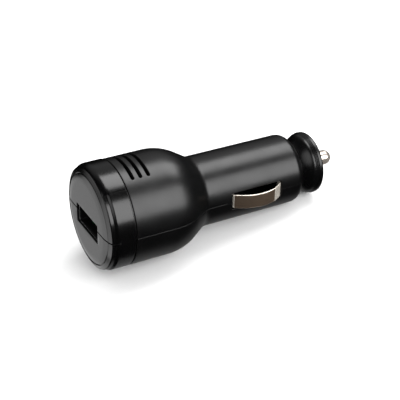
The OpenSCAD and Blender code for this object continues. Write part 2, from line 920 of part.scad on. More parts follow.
// The two leads of each can: out of its end, then down through the board
module capacitor_lead_rods(d) {
    for (can = [[cap_in_x, cap_in_d, cap_in_pitch], [cap_out_x, cap_out_d, cap_out_pitch]])
        for (side = [-1, 1]) {
            x = can[0] + side * can[2] / 2;
            y = board_y - can[1] / 2;
            rod([x, y, caps_z], [x, y, caps_z - cap_lead_out], d);
            translate([x, y, caps_z - cap_lead_out])
                sphere(d = d);
            rod([x, y, caps_z - cap_lead_out], [x, board_under_y + 0.8, caps_z - cap_lead_out], d);
        }
}

module capacitor_leads() {
    color([0.8, 0.8, 0.8])
        capacitor_lead_rods(cap_lead_d);
}

module coil_former() {
    color([0.2, 0.2, 0.21])
        translate([0, board_y, choke_z])
            rotate([90, 0, 0])
                rotate_extrude()
                    difference() {
                        square([choke_d / 2, choke_h]);
                        translate([choke_core_d / 2, choke_flange])
                            square([choke_d, choke_h - 2 * choke_flange]);
                    }
}

// Winding as a stack of wire rings between the flanges
module coil_winding() {
    turns = floor((choke_h - 2 * choke_flange) / choke_wire);
    pitch = (choke_h - 2 * choke_flange) / turns;
    inner_r = choke_core_d / 2 + fit_gap / 2;
    outer_r = choke_d / 2 - choke_inset;
    color([0.72, 0.36, 0.14])
        translate([0, board_y, choke_z])
            rotate([90, 0, 0])
                rotate_extrude() {
                    translate([inner_r, choke_flange + fit_gap / 2])
                        square([outer_r - inner_r - choke_wire / 2, choke_h - 2 * choke_flange - fit_gap]);
                    for (i = [0 : turns - 1])
                        translate([outer_r - choke_wire / 2, choke_flange + pitch * (i + 0.5)])
                            circle(d = choke_wire * 0.98);
                }
}

module converter_chip() {
    color([0.08, 0.08, 0.09])
        difference() {
            translate([-chip_len / 2, board_under_y + 0.15, chip_z - chip_w / 2])
                cube([chip_len, chip_h, chip_w]);
            translate([-chip_len / 2 + 0.8, board_under_y + 0.15 + chip_h - 0.1, chip_z - chip_w / 2 + 0.8])
                rotate([-90, 0, 0])
                    cylinder(h = 1, d = 0.7);
        }
}

module chip_legs() {
    pitch = 1.27;
    leg_w = 0.42;
    leg_t = 0.2;
    color([0.8, 0.8, 0.8])
        for (side = [-1, 1])
            for (i = [0 : chip_legs_a_side - 1]) {
                x = (i - (chip_legs_a_side - 1) / 2) * pitch - leg_w / 2;
                reach = side * (chip_w / 2);
                translate([x, board_under_y + chip_h / 2, chip_z + min(reach, reach + side * 0.55)])
                    cube([leg_w, leg_t, 0.55]);
                translate([x, board_under_y, chip_z + min(reach + side * 0.35, reach + side * 0.55)])
                    cube([leg_w, chip_h / 2 + leg_t, 0.2]);
                translate([x, board_under_y, chip_z + min(reach + side * 0.35, reach + side * 1.05)])
                    cube([leg_w, leg_t, 0.7]);
            }
}

module diode() {
    color([0.09, 0.09, 0.1])
        translate([-diode_len / 2, board_under_y + 0.1, diode_z - diode_w / 2])
            cube([diode_len, diode_h - 0.1, diode_w]);
}

module diode_tabs() {
    tab_t = 0.2;
    color([0.8, 0.8, 0.8])
        for (side = [0, 1])
            mirror([side, 0, 0]) {
                translate([diode_len / 2, board_under_y, diode_z - 0.8])
                    cube([tab_t, diode_h / 2, 1.6]);
                translate([diode_len / 2, board_under_y, diode_z - 0.8])
                    cube([0.9, tab_t, 1.6]);
            }
}

// Small oblong parts on the underside of the board, in two rows
module chip_resistors() {
    color([0.25, 0.2, 0.16])
        for (x = [-resistor_x, resistor_x])
            for (z = [usb_end_z - resistor_w : resistor_pitch : board_neck_z])
                translate([x - resistor_len / 2, board_under_y, z])
                    cube([resistor_len, resistor_h, resistor_w]);
}

// Point of the lead's centre line after a share of its way, on a curve from a pad to the tab
function lead_point(share) = let (
    pad = [tail_w / 2 - lead_d, board_y, choke_z + choke_d / 2 + lead_gap + lead_d / 2],
    rise = pad - [0, lead_rise, 0],
    end = [tab_x - 0.1, 0, leg_z - tab_len - 0.3],
    back = end - [0, 0, lead_bend],
    s = 1 - share)
    pad * s * s * s + rise * 3 * s * s * share + back * 3 * s * share * share + end * share * share * share;

// Ring of points around a curve at p, square to its direction
function ring_at(p, direction, d, sides) = let (
    u = unit(cross(direction, [1, 0, 0])),
    v = unit(cross(u, direction)))
    [for (k = [0 : sides - 1]) p + d / 2 * (u * cos(360 * k / sides) - v * sin(360 * k / sides))];

// Lead from a pad on the tail up to the tab of a side contact
module ground_lead() {
    steps = 12;
    swept_tube([for (i = [0 : steps])
        let (share = i / steps, ahead = min(share + 0.02, 1), behind = max(share - 0.02, 0))
        ring_at(lead_point(share), lead_point(ahead) - lead_point(behind), lead_d, 10)]);
}

module right_ground_lead() {
    color([0.12, 0.12, 0.12])
        ground_lead();
}

module left_ground_lead() {
    color([0.12, 0.12, 0.12])
        mirror([1, 0, 0])
            ground_lead();
}

upper_shell();
lower_shell();
nose_cap();
centre_pin();
fuse_front_cap();
fuse_rear_cap();
fuse_glass();
fuse_wire();
contact_spring();
spring_seat();
right_side_contact();
left_side_contact();
usb_shell();
usb_insulator();
usb_contacts();
circuit_board();
input_capacitor();
output_capacitor();
capacitor_leads();
coil_former();
coil_winding();
converter_chip();
chip_legs();
diode();
diode_tabs();
chip_resistors();
right_ground_lead();
left_ground_lead();
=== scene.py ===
import math
import time

import bmesh
import bpy
from mathutils import Matrix, Vector


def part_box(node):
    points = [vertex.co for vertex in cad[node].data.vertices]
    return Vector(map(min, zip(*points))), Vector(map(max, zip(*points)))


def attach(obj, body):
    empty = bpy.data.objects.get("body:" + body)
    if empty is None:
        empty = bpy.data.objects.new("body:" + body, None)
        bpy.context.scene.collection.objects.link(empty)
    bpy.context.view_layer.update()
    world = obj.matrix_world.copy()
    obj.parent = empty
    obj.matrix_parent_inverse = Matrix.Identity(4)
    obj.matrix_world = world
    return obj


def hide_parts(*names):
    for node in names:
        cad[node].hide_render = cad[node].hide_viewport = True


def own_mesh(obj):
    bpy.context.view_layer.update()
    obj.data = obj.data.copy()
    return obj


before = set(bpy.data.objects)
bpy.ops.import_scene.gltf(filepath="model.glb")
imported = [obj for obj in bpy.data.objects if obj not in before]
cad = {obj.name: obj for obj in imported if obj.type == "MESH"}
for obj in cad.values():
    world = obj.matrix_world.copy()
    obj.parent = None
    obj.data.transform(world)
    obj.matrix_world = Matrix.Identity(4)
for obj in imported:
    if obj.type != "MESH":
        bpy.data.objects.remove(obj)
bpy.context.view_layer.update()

mm = 0.001
startTime = time.time()
scene = bpy.context.scene


def report(stage):
    print(f"{stage} done after {time.time() - startTime:.1f} s")


def boxMm(node):
    low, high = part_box(node)
    return low / mm, high / mm


# Material tools

def node(tree, kind, inputs=None, **settings):
    made = tree.nodes.new(kind)
    for key, value in settings.items():
        setattr(made, key, value)
    for key, value in (inputs or {}).items():
        if isinstance(value, bpy.types.NodeSocket):
            tree.links.new(value, made.inputs[key])
        else:
            made.inputs[key].default_value = value
    return made


def newMaterial(name, colour, roughness, metallic=0.0, **shaderValues):
    material = bpy.data.materials.new(name)
    material.use_nodes = True
    shader = material.node_tree.nodes["Principled BSDF"]
    shader.inputs["Base Color"].default_value = (*colour, 1)
    shader.inputs["Roughness"].default_value = roughness
    shader.inputs["Metallic"].default_value = metallic
    for key, value in shaderValues.items():
        shader.inputs[key].default_value = value
    return material, material.node_tree, shader


def objectPlace(tree, scale=(1, 1, 1), turn=(0, 0, 0)):
    place = node(tree, "ShaderNodeTexCoord").outputs["Object"]
    return node(tree, "ShaderNodeMapping", {"Vector": place, "Scale": scale, "Rotation": turn}).outputs["Vector"]


def noise(tree, size, place=None, detail=3.0):  # size in mm
    inputs = {"Scale": 1 / (size * mm), "Detail": detail}
    inputs["Vector"] = place or objectPlace(tree)
    return node(tree, "ShaderNodeTexNoise", inputs).outputs["Fac"]


def spread(tree, value, low, high, fromLow=0.3, fromHigh=0.7):
    made = node(tree, "ShaderNodeMapRange", {"Value": value, "From Min": fromLow, "From Max": fromHigh,
                                             "To Min": low, "To Max": high})
    return made.outputs["Result"]


def blendColours(tree, share, first, second):
    made = node(tree, "ShaderNodeMix", {0: share}, data_type="RGBA")
    made.inputs[6].default_value = (*first, 1)
    made.inputs[7].default_value = (*second, 1)
    return made.outputs[2]


def bump(tree, shader, heights, strength, depth):  # depth in mm
    last = None
    for height in heights:
        inputs = {"Height": height, "Strength": strength, "Distance": depth * mm}
        if last:
            inputs["Normal"] = last
        last = node(tree, "ShaderNodeBump", inputs).outputs["Normal"]
    tree.links.new(last, shader.inputs["Normal"])


def mouldedPlastic(name, colour, roughness, vary, grain, grainDepth, paler=1.25):
    material, tree, shader = newMaterial(name, colour, roughness)
    slow = noise(tree, 7, detail=2)
    fine = noise(tree, grain, detail=4)
    tree.links.new(spread(tree, slow, roughness - vary, roughness + vary), shader.inputs["Roughness"])
    second = tuple(c * paler for c in colour)
    tree.links.new(blendColours(tree, spread(tree, fine, 0, 1), colour, second), shader.inputs["Base Color"])
    bump(tree, shader, [fine], 0.5, grainDepth)
    return material


def drawnMetal(name, colour, roughness, markSizes, vary=0.05, markDepth=0.003, tint=0.9, metallic=1.0):
    material, tree, shader = newMaterial(name, colour, roughness, metallic)
    marks = noise(tree, 1, objectPlace(tree, tuple(1 / size for size in markSizes)), 3)
    cloud = noise(tree, 1.7, detail=3)
    tree.links.new(spread(tree, marks, roughness - vary, roughness + vary), shader.inputs["Roughness"])
    second = tuple(c * tint for c in colour)
    tree.links.new(blendColours(tree, spread(tree, cloud, 0, 1), colour, second), shader.inputs["Base Color"])
    bump(tree, shader, [marks], 0.4, markDepth)
    return material


def boardGreen(name):
    mask, track = (0.012, 0.10, 0.04), (0.03, 0.20, 0.08)
    material, tree, shader = newMaterial(name, mask, 0.35)
    tracks = node(tree, "ShaderNodeTexBrick", {"Vector": objectPlace(tree, (1, 1, 1), (math.pi / 2, 0, 0)),
                                               "Scale": 120.0, "Mortar Size": 0.035, "Mortar Smooth": 0.2,
                                               "Brick Width": 0.9, "Row Height": 0.22}, offset=0.37)
    weave = noise(tree, 0.25, detail=2)
    tree.links.new(blendColours(tree, tracks.outputs["Fac"], mask, track), shader.inputs["Base Color"])
    tree.links.new(spread(tree, weave, 0.28, 0.42), shader.inputs["Roughness"])
    bump(tree, shader, [tracks.outputs["Fac"], weave], 0.5, 0.02)
    return material


can = {"sleeve": (0.012, 0.016, 0.03), "stripe": (0.35, 0.37, 0.40), "bare": (0.75, 0.76, 0.78),
       "stripeFrom": 2.1, "bareTop": 0.3}


def canSleeve(name, canNode):  # printed sleeve with a pale stripe, bare scored top
    low, high = boxMm(canNode)
    stripeX, bareZ = (low.x + high.x) / 2 - can["stripeFrom"], high.z - can["bareTop"]
    material, tree, shader = newMaterial(name, can["sleeve"], 0.3)
    split = node(tree, "ShaderNodeSeparateXYZ", {0: node(tree, "ShaderNodeTexCoord").outputs["Object"]}).outputs
    side = node(tree, "ShaderNodeMath", {0: split["X"], 1: stripeX * mm}, operation="LESS_THAN").outputs[0]
    bare = node(tree, "ShaderNodeMath", {0: split["Z"], 1: bareZ * mm}, operation="GREATER_THAN").outputs[0]
    both = node(tree, "ShaderNodeMix", {0: bare, 6: blendColours(tree, side, can["sleeve"], can["stripe"])},
                data_type="RGBA")
    both.inputs[7].default_value = (*can["bare"], 1)
    cloud = noise(tree, 0.8, detail=3)
    tree.links.new(both.outputs[2], shader.inputs["Base Color"])
    tree.links.new(bare, shader.inputs["Metallic"])
    tree.links.new(spread(tree, cloud, 0.24, 0.38), shader.inputs["Roughness"])
    bump(tree, shader, [cloud], 0.3, 0.01)
    return material


def clearGlass(name):
    material, tree, shader = newMaterial(name, (0.93, 0.97, 0.96), 0.03, IOR=1.5)
    shader.inputs["Transmission Weight"].default_value = 1.0
    waves = noise(tree, 2.5, objectPlace(tree, (1, 1, 0.2)), 2)
    tree.links.new(spread(tree, waves, 0.02, 0.06), shader.inputs["Roughness"])
    bump(tree, shader, [waves], 0.15, 0.02)
    return material


plastics = {  # colour, roughness and how far it varies, size and depth of the grain in mm, how much paler it is
    "bodySatin": ((0.0010, 0.0010, 0.0011), 0.33, 0.03, 0.12, 0.004),
    "faceSmooth": ((0.0010, 0.0010, 0.0011), 0.19, 0.02, 0.12, 0.003),
    "bandPolished": ((0.0009, 0.0009, 0.0010), 0.20, 0.02, 0.5, 0.0015),
    "insideWall": ((0.0025, 0.0025, 0.0025), 0.5, 0.05, 0.2, 0.004),
    "capGloss": ((0.0009, 0.0009, 0.0010), 0.28, 0.03, 0.3, 0.003),
    "tongueBlack": ((0.002, 0.002, 0.0022), 0.42, 0.04, 0.15, 0.004),
    "ferrite": ((0.02, 0.02, 0.021), 0.55, 0.08, 0.12, 0.012, 1.8),
    "chipBlack": ((0.008, 0.008, 0.009), 0.5, 0.05, 0.08, 0.006, 1.6),
    "resistorDark": ((0.05, 0.035, 0.022), 0.4, 0.08, 0.1, 0.005, 1.5),
    "leadJacket": ((0.006, 0.006, 0.006), 0.42, 0.05, 0.3, 0.006, 1.5),
}
metals = {  # colour, roughness, size of the marks in mm, how far they vary, their depth, tint and metallic share
    "pinNickel": ((0.78, 0.70, 0.62), 0.2, (40, 40, 0.12), 0.05, 0.003, 0.9, 0.86),
    "stripBrown": ((0.22, 0.16, 0.115), 0.3, (9, 0.12, 9), 0.03, 0.0006, 0.95, 0.86),
    # paler strip metal: painted highlight on the edges and bends
    "stripRubbed": ((0.78, 0.72, 0.64), 0.24, (9, 0.12, 9), 0.04, 0.0008, 0.9, 0.75),
    "shellSteel": ((0.72, 0.72, 0.73), 0.3, (0.15, 0.15, 8)),
    # darker steel for the inside of the port: painted shade in the recess
    "shellInside": ((0.10, 0.10, 0.105), 0.36, (0.15, 0.15, 8)),
    "bladeGold": ((0.83, 0.60, 0.24), 0.24, (0.1, 0.1, 5)),
    "springWire": ((0.55, 0.55, 0.56), 0.28, (0.3, 0.3, 0.3)),
    "seatTin": ((0.72, 0.70, 0.66), 0.3, (0.12, 4, 4)),
    "fuseCap": ((0.80, 0.79, 0.76), 0.22, (40, 40, 0.1)),
    "fuseWire": ((0.86, 0.86, 0.84), 0.3, (0.1, 0.1, 1)),
    "solderTin": ((0.74, 0.74, 0.75), 0.32, (0.4, 0.4, 0.4), 0.08),
    "coilCopper": ((0.72, 0.30, 0.11), 0.25, (0.5, 0.5, 0.5)),
}
finishes = {name: mouldedPlastic(name, *values) for name, values in plastics.items()}
finishes.update({name: drawnMetal(name, *values) for name, values in metals.items()})
finishes["fuseGlass"] = clearGlass("fuseGlass")
finishes["boardGreen"] = boardGreen("boardGreen")
finishes["inputCan"] = canSleeve("inputCan", "input_capacitor")
finishes["outputCan"] = canSleeve("outputCan", "output_capacitor")
report("finishes")


# Mesh tools. Points are in mm, and a finished piece's object stays at the origin.

def arc(centreR, centreZ, radius, fromDeg, toDeg, steps):
    points = []  # 0 degrees looks towards the USB face, 90 degrees away from the axis
    for i in range(steps + 1):
        a = math.radians(fromDeg + (toDeg - fromDeg) * i / steps)
        points.append((centreR + radius * math.sin(a), centreZ - radius * math.cos(a)))
    return points


def run(start, end, steps):
    return [(start[0] + (end[0] - start[0]) * i / steps, start[1] + (end[1] - start[1]) * i / steps)
            for i in range(1, steps + 1)]


def tidyMesh(piece, smoothDeg, recalc=True):
    shape = bmesh.new()
    shape.from_mesh(piece.data)
    bmesh.ops.remove_doubles(shape, verts=shape.verts, dist=0.0001 * mm)
    if recalc:
        bmesh.ops.recalc_face_normals(shape, faces=shape.faces)
    shape.to_mesh(piece.data)
    shape.free()
    piece.data.shade_smooth()
    piece.data.set_sharp_from_angle(angle=math.radians(smoothDeg))


def makePiece(name, points, faces, materials, smoothDeg=32, pick=None):
    mesh = bpy.data.meshes.new(name)
    mesh.from_pydata([Vector(p) * mm for p in points], [], faces)
    for material in materials:
        mesh.materials.append(finishes[material])
    if pick:
        for face in mesh.polygons:
            face.material_index = pick(face.index, face.center / mm)
    piece = bpy.data.objects.new(name, mesh)
    scene.collection.objects.link(piece)
    tidyMesh(piece, smoothDeg)
    return piece


def applied(piece, smoothDeg=32):
    mesh = bpy.data.meshes.new_from_object(piece.evaluated_get(bpy.context.evaluated_depsgraph_get()))
    piece.modifiers.clear()
    piece.data = mesh
    mesh.name = piece.name
    tidyMesh(piece, smoothDeg, recalc=False)
    return piece


def cutOut(piece, cutters, smoothDeg=32):
    for cutter in cutters:
        cut = piece.modifiers.new("cut", "BOOLEAN")
        cut.operation = "DIFFERENCE"
        cut.solver = "MANIFOLD"
        cut.object = cutter
    return applied(piece, smoothDeg)


def remove(things):
    for thing in things:
        bpy.data.objects.remove(thing)


def turned(name, profile, material, columns=144, smoothDeg=32):
    points, faces, count = [], [], len(profile)  # the profile is a closed loop round the wall
    for i in range(columns):
        a = 2 * math.pi * i / columns
        points += [(r * math.sin(a), -r * math.cos(a), z) for r, z in profile]
        n = (i + 1) % columns
        for k in range(count):
            m = (k + 1) % count
            if profile[k][0] > 0 or profile[m][0] > 0:
                faces.append((i * count + k, n * count + k, n * count + m, i * count + m))
    return makePiece(name, points, faces, [material], smoothDeg)


def roundedBox(halfU, halfV, corner, steps=6):
    outline = []  # points with their outward directions, anticlockwise
    for quarter, (su, sv) in enumerate([(1, 1), (-1, 1), (-1, -1), (1, -1)]):
        for i in range(steps + 1):
            a = math.radians(90 * quarter + 90 * i / steps)
            away = (math.cos(a), math.sin(a))
            point = (su * (halfU - corner) + corner * away[0], sv * (halfV - corner) + corner * away[1])
            outline.append((point, away))
    return outline


def extruded(name, outline, place, layers, material="insideWall"):
    points, faces, count = [], [], len(outline)  # a layer is a depth and how much wider the outline is there
    for down, wider in layers:
        points += [place(u + nu * wider, v + nv * wider, down) for (u, v), (nu, nv) in outline]
    for i in range(len(layers) - 1):
        for k in range(count):
            m = (k + 1) % count
            faces.append((i * count + k, i * count + m, (i + 1) * count + m, (i + 1) * count + k))
    faces.append(tuple(range(count)))
    faces.append(tuple((len(layers) - 1) * count + k for k in reversed(range(count))))
    return makePiece(name, points, faces, [material])


def lippedCutter(name, outline, place, lip, depth, steps=5, proud=0.6):
    layers = [(-proud, lip)]
    for i in range(steps + 1):
        down = lip * i / steps
        layers.append((down, lip - math.sqrt(max(lip * lip - (lip - down) ** 2, 0))))
    return extruded(name, outline, place, layers + [(depth, 0)])


def joined(name, pieces, smoothDeg=32):  # the first piece's materials hold for all
    shape = bmesh.new()
    for piece in pieces:
        shape.from_mesh(piece.data)
    mesh = bpy.data.meshes.new(name)
    shape.to_mesh(mesh)
    shape.free()
    for material in pieces[0].data.materials:
        mesh.materials.append(material)
    remove(pieces)
    whole = bpy.data.objects.new(name, mesh)
    scene.collection.objects.link(whole)
    tidyMesh(whole, smoothDeg, recalc=False)
    return whole


# Geometry node tools

def newTree(name, inputs):
    tree = bpy.data.node_groups.new(name, "GeometryNodeTree")
    tree.interface.new_socket("Geometry", in_out="OUTPUT", socket_type="NodeSocketGeometry")
    for label, kind in inputs.items():
        tree.interface.new_socket(label, in_out="INPUT", socket_type="NodeSocket" + kind)
    return tree, node(tree, "NodeGroupInput").outputs


def endTree(tree, geometry, material):
    real = node(tree, "GeometryNodeRealizeInstances", {"Geometry": geometry})
    painted = node(tree, "GeometryNodeSetMaterial", {"Geometry": real.outputs[0], "Material": material})
    node(tree, "NodeGroupOutput", {"Geometry": painted.outputs[0]})


def grown(name, tree, values, smoothDeg=32):
    piece = bpy.data.objects.new(name, bpy.data.meshes.new(name))
    scene.collection.objects.link(piece)
    modifier = piece.modifiers.new("build", "NODES")
    modifier.node_group = tree
    for item in tree.interface.items_tree:
        if item.in_out == "INPUT" and item.name in values:
            modifier[item.identifier] = values[item.name]
    return applied(piece, smoothDeg)


def rowTree():
    tree, inputs = newTree("rowOfPieces", {"Piece": "Object", "Count": "Int", "Start": "Vector", "Step": "Vector",
                                           "Finish": "Material"})
    line = node(tree, "GeometryNodeMeshLine", {"Count": inputs["Count"], "Start Location": inputs["Start"],
                                               "Offset": inputs["Step"]}, mode="OFFSET")
    shape = node(tree, "GeometryNodeObjectInfo", {"Object": inputs["Piece"]})
    copies = node(tree, "GeometryNodeInstanceOnPoints", {"Points": line.outputs[0],
                                                         "Instance": shape.outputs["Geometry"]})
    endTree(tree, copies.outputs[0], inputs["Finish"])
    return tree


rowOfPieces = rowTree()


def rowOf(name, piece, count, start, step, finish):  # the single piece is used up
    row = grown(name, rowOfPieces, {"Piece": piece, "Count": count, "Start": tuple(v * mm for v in start),
                                    "Step": tuple(v * mm for v in step), "Finish": finishes[finish]})
    remove([piece])
    return row


def flatTree():
    tree, inputs = newTree("stripAlongPath", {"Path": "Object", "Width": "Float", "Thickness": "Float",
                                              "Edge round": "Float", "Across": "Vector", "Finish": "Material"})
    path = node(tree, "GeometryNodeObjectInfo", {"Object": inputs["Path"]})
    flat = node(tree, "GeometryNodeSetCurveNormal", {"Curve": path.outputs["Geometry"], "Normal": inputs["Across"]},
                mode="FREE")
    section = node(tree, "GeometryNodeCurvePrimitiveQuadrilateral", {"Width": inputs["Width"],
                                                                    "Height": inputs["Thickness"]})
    rounded = node(tree, "GeometryNodeFilletCurve", {"Curve": section.outputs[0], "Radius": inputs["Edge round"],
                                                     "Count": 4}, mode="POLY")
    body = node(tree, "GeometryNodeCurveToMesh", {"Curve": flat.outputs[0], "Profile Curve": rounded.outputs[0],
                                                  "Fill Caps": True})
    endTree(tree, body.outputs[0], inputs["Finish"])
    return tree


def wireTree():
    tree, inputs = newTree("wireAlongPath", {"Path": "Object", "Radius": "Float", "Sides": "Int",
                                             "Finish": "Material"})
    path = node(tree, "GeometryNodeObjectInfo", {"Object": inputs["Path"]})
    section = node(tree, "GeometryNodeCurvePrimitiveCircle", {"Resolution": inputs["Sides"],
                                                              "Radius": inputs["Radius"]})
    body = node(tree, "GeometryNodeCurveToMesh", {"Curve": path.outputs["Geometry"],
                                                  "Profile Curve": section.outputs[0], "Fill Caps": True})
    endTree(tree, body.outputs[0], inputs["Finish"])
    return tree


def alongPath(name, tree, points, values, smoothDeg=32):
    curve = bpy.data.curves.new(name + "Path", "CURVE")
    curve.dimensions = "3D"
    line = curve.splines.new("POLY")
    line.points.add(len(points) - 1)
    for point, p in zip(line.points, points):
        point.co = (*(Vector(p) * mm), 1)
    holder = bpy.data.objects.new(name + "Path", curve)
    scene.collection.objects.link(holder)
    piece = grown(name, tree, {"Path": holder, **values}, smoothDeg)
    remove([holder])
    tidyMesh(piece, smoothDeg)
    return piece


stripAlongPath, wireAlongPath = flatTree(), wireTree()


# Housing: two half shells that meet at the parting plane

shellHigh = boxMm("lower_shell")[1]
housing = {
    "headR": shellHigh.y, "headLen": 20.8, "shoulderR": 15.2, "slopeDeg": 32.4, "rootR": 3.8,
    "barrelR": 10.5, "barrelEndR": 10.4, "endRound": 2.7, "endZ": shellHigh.z,
    "wall": 1.8, "boreR": 6.25, "collarZ": 60.6, "columns": 116,
    "faceFlat": 10.5, "crownR": 9.3, "crownDeg": 16.6, "bandFrom": 1.30, "bandTo": 7.88,
    "grooveZ": 8.1, "grooveHalf": 0.24, "grooveDeep": 0.42, "grooveLip": 0.11,
}
seam = {"reach": 0.32, "gap": 0.22, "openTo": 3.3, "closing": 2, "bandRound": 0.07, "bodyRound": 0.15, "bodyTo": 40}
plate = {"half": 9.0, "rise": 0.18, "startZ": 1.12, "startR": 14.93, "fullZ": 3.3, "curve": 0.8, "endZ": 7.6,
         "ditch": 0.24, "ditchDeep": 0.12, "ditchFrom": 2.5, "slack": 0.01}


def shoulder(inset, steps):
    h = housing
    slope = math.radians(h["slopeDeg"])
    fall = h["headR"] - h["barrelR"] - (h["shoulderR"] + h["rootR"]) * (1 - math.cos(slope))
    rootZ = h["headLen"] + (h["shoulderR"] + h["rootR"]) * math.sin(slope) + fall / math.tan(slope)
    outer = [(h["headR"] - h["shoulderR"] + (h["shoulderR"] - inset) * math.cos(a),
              h["headLen"] + (h["shoulderR"] - inset) * math.sin(a))
             for a in [slope * i / steps for i in range(steps + 1)]]
    inner = [(h["barrelR"] + h["rootR"] - (h["rootR"] + inset) * math.cos(a),
              rootZ - (h["rootR"] + inset) * math.sin(a))
             for a in [slope * (1 - i / steps) for i in range(steps + 1)]]
    return outer + run(outer[-1], inner[0], 6)[:-1] + inner


def outerProfile():
    h = housing
    flat, crown = h["faceFlat"], h["crownR"]
    face = [(1, 0)] + run((1, 0), (flat, 0), 6) + arc(flat, crown, crown, 1, h["crownDeg"], 8)
    stepGroove = [(13.22, 0.44), (13.24, 0.66), (13.28, 0.72), (13.40, 0.72), (13.46, 0.62), (13.49, 0.41),
                  (13.52, 0.36)]
    ring = run((13.52, 0.36), (14.60, 0.86), 3) + arc(14.52, 1.28, 0.42, 25, 84, 7)
    rimWall = run(ring[-1], (15.00, 2.02), 3)
    edge = [(15.02, 2.10), (15.06, 2.18)] + run((15.06, 2.18), (15.40, 2.70), 5) + [(15.45, 2.79), (15.485, 2.88)]
    band = [(h["headR"], z) for z in (2.97, 3.1, 3.3, 3.6, 4.2, 5.2, 6.2, 7.2, 7.6)]
    lip, half, floor, groove = h["grooveLip"], h["grooveHalf"], h["headR"] - h["grooveDeep"], h["grooveZ"]
    sides = arc(h["headR"] - lip, groove - half - lip, lip, 90, 180, 4)
    sides += [(floor, groove - half + 0.02), (floor, groove + half - 0.02)]
    sides += arc(h["headR"] - lip, groove + half + lip, lip, 0, 90, 4)
    body = run((h["headR"], groove + half + lip + 0.05), (h["headR"], h["headLen"]), 24)[:-1]
    barrel = run((h["barrelR"], 34.3), (h["barrelEndR"], h["endZ"] - h["endRound"]), 34)
    end = arc(h["barrelEndR"] - h["endRound"], h["endZ"] - h["endRound"], h["endRound"], 90, 180, 14)[1:]
    lipEnd = [(h["boreR"] + 0.15, h["endZ"]), (h["boreR"], h["endZ"] - 0.15)]
    return face + stepGroove + ring + rimWall + edge + band + sides + body + shoulder(0, 20) + barrel + end + lipEnd


def innerProfile():
    h = housing
    t = h["wall"]
    back = shoulder(t, 8)
    back = [(h["headR"] - t, t + 0.6), (h["headR"] - t, 12)] + back + [(h["barrelEndR"] - t, h["collarZ"]),
                                                                       (h["boreR"], h["collarZ"])]
    return [(1, t), (h["headR"] - t - 0.6, t)] + back


def atSeam(before, here, after, d):  # open across the face, and a rounded edge along the body
    r, z = here
    if z < seam["openTo"]:
        gap = seam["gap"] * min((seam["openTo"] - z) / seam["closing"], 1)
        return r, z, gap + d * (seam["reach"] - gap) / seam["reach"]
    edge = seam["bodyRound"] if housing["bandTo"] < z < seam["bodyTo"] else seam["bandRound"]
    sink = (edge - math.sqrt(edge * edge - max(edge - d, 0) ** 2)) / math.dist(before, after)
    return r - sink * (after[1] - before[1]), z + sink * (after[0] - before[0]), d


def atPlate(r, z, a):  # the plate's front rounds into the rim, and a fine ditch runs beside it
    p, headR = plate, housing["headR"]
    if not p["startZ"] < z < housing["bandTo"] or r <= headR - (0.6 if z < p["endZ"] else 0.3):
        return r
    x = abs(headR * math.sin(a))
    if x < p["half"] - p["slack"]:
        along = min((z - p["startZ"]) / (p["fullZ"] - p["startZ"]), 1)
        return max(p["startR"] + (headR + p["rise"] - p["startR"]) * math.sin(math.pi / 2 * along) ** p["curve"], r)
    if p["half"] + p["slack"] < x < p["half"] + p["ditch"] - p["slack"] and z > p["ditchFrom"]:
        return r - p["ditchDeep"]
    return r


def shellColumns():  # close together beside the seam and at the plate's sides
    h, half, far = housing, plate["half"], plate["half"] + plate["ditch"]
    nearSeam = [share * seam["reach"] for share in (0, 0.15, 0.35, 0.65, 1)]
    nearPlate = [math.asin(x / h["headR"]) / math.pi
                 for x in (half - 0.4, half - 0.02, half, half + 0.03, far - 0.03, far, far + 0.3)]
    shares = [i / h["columns"] for i in range(1, h["columns"])]
    shares += [0.5 + share for share in nearPlate] + [0.5 - share for share in nearPlate]
    return ([("low", d) for d in nearSeam] + [("across", share) for share in sorted(shares)]
            + [("high", d) for d in reversed(nearSeam)])


def halfShell(name, side):
    h, columns = housing, shellColumns()
    outer, inner = outerProfile(), innerProfile()
    profile = outer + list(reversed(inner))
    points = []
    for kind, value in columns:
        for k, (r, z) in enumerate(profile):
            d = seam["reach"] if kind == "across" else value
            if k < len(outer):
                before, after = profile[max(k - 1, 0)], profile[min(k + 1, len(outer) - 1)]
                r, z, d = atSeam(before, (r, z), after, d)
            start = math.asin(min(d / r, 1))
            if kind == "across":
                a = -math.pi / 2 + start + (math.pi - 2 * start) * value
            else:
                a = (start - math.pi / 2) * (1 if kind == "low" else -1)
            if side < 0 and k < len(outer):
                r = atPlate(r, z, a)
            points.append((r * math.sin(a), side * r * math.cos(a), z))
    count = len(profile)
    faces = [(i * count + k, (i + 1) * count + k, (i + 1) * count + (k + 1) % count, i * count + (k + 1) % count)
             for i in range(len(columns) - 1) for k in range(count)]
    faces.append(tuple(range(count)))
    faces.append(tuple((len(columns) - 1) * count + k for k in reversed(range(count))))

    def pick(index, centre):
        k = index % count
        if index >= (len(columns) - 1) * count or k >= len(outer) - 1:
            return 2
        if centre.z < h["bandFrom"]:
            return 3
        return 1 if centre.z < h["bandTo"] else 0

    return makePiece(name, points, faces, ["bodySatin", "bandPolished", "insideWall", "faceSmooth"], 32, pick)


portLow, portHigh = boxMm("usb_shell")
port = {"halfW": 7.05, "halfH": 2.95, "y": 1.2, "corner": 0.35, "lip": 0.14, "depth": 3}
slots = {"halfW": 2.7, "fromZ": 41.0, "toZ": 57.7, "corner": 0.3, "lip": 0.14, "depth": 4}
vents = {"count": 3, "firstZ": 11.1, "pitch": 2.4, "halfLen": 7.1, "halfW": 0.5, "lip": 0.13, "depth": 3.4}


def portCutter():
    return lippedCutter("portCutter", roundedBox(port["halfW"], port["halfH"], port["corner"]),
                        lambda u, v, down: (u, port["y"] + v, down), port["lip"], port["depth"])


